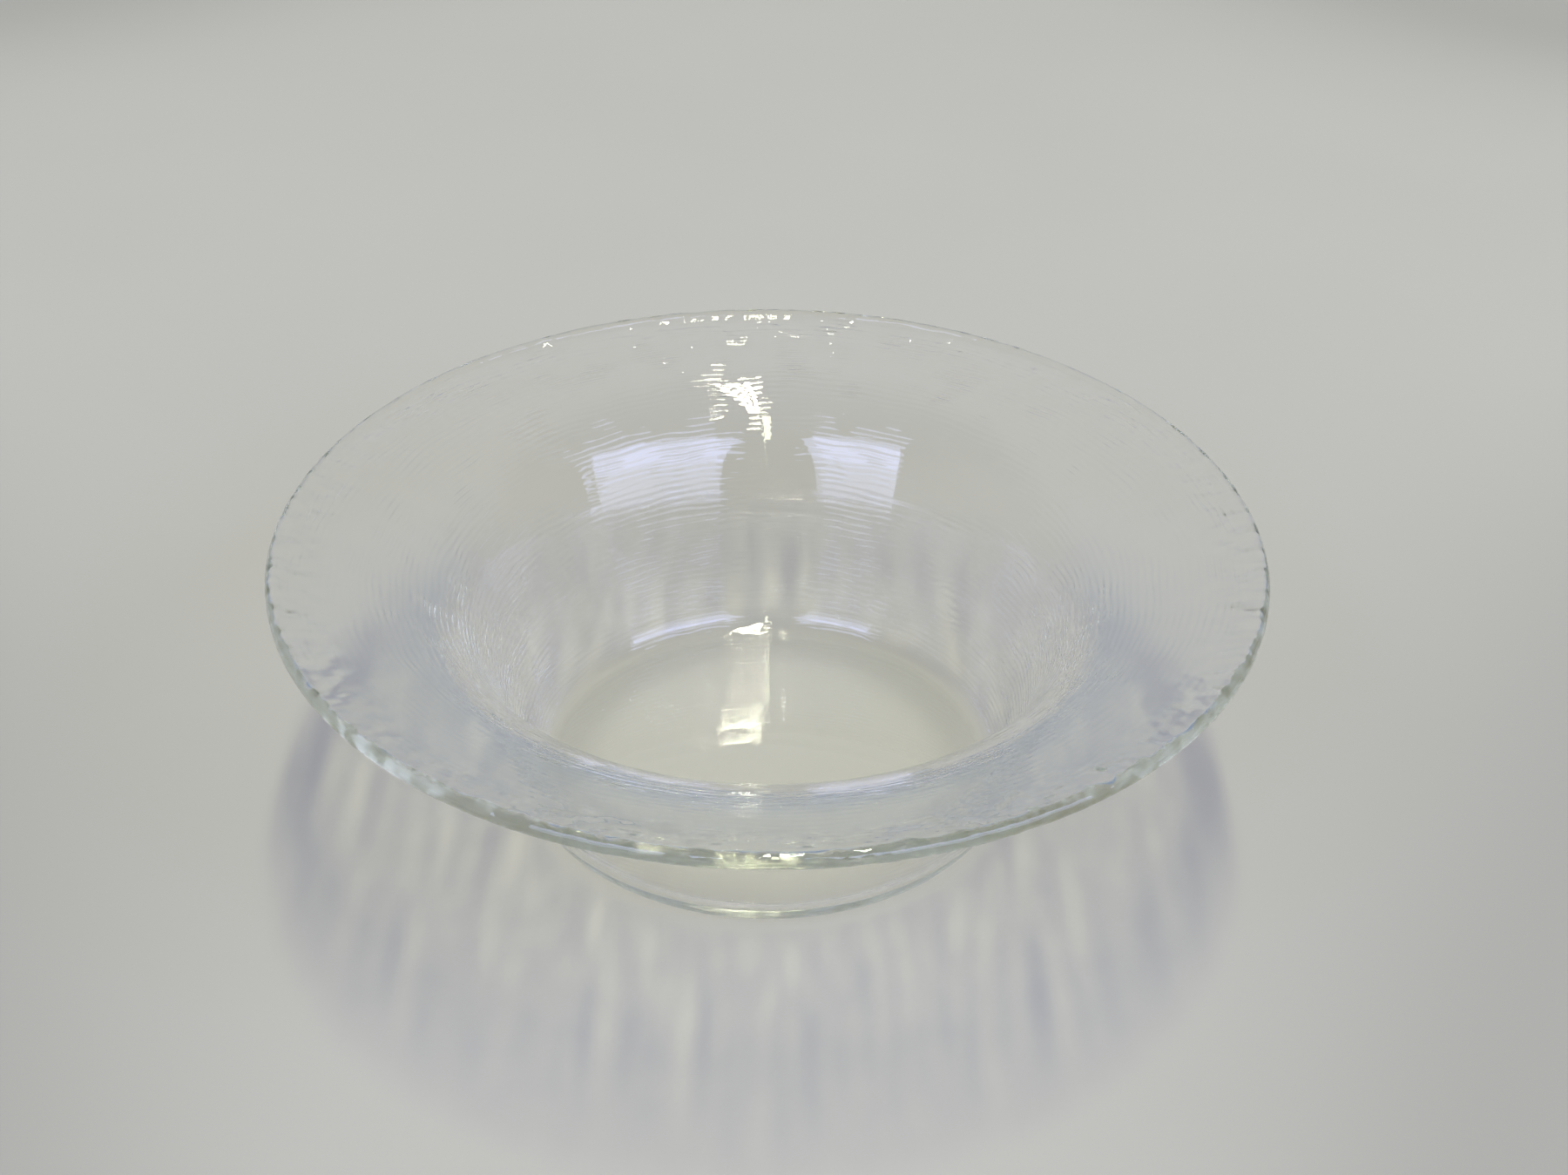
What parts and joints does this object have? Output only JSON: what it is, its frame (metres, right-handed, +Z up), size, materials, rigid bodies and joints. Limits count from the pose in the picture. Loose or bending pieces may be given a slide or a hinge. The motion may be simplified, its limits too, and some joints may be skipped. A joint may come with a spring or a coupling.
{
  "type": "glass bowl",
  "caption": "Wide clear glass bowl with a steep round well, a broad flared brim with a rounded rim, and a flat ring foot; it stands open side up.",
  "frame": {"origin": "centre of the flat ring that the bowl stands on, at the surface it stands on", "axes": "+Z up along the bowl's axis of revolution, out of its open mouth; +X to the right and +Y away from the viewer in the picture"},
  "size_m": [0.28, 0.28, 0.0845],
  "materials": {
    "clear_glass": "fire-polished clear glass with a faint green-blue edge tint and fine turned ripples"
  },
  "bodies": {
    "root": {"glass_bowl": "clear_glass"}
  },
  "joints": []
}
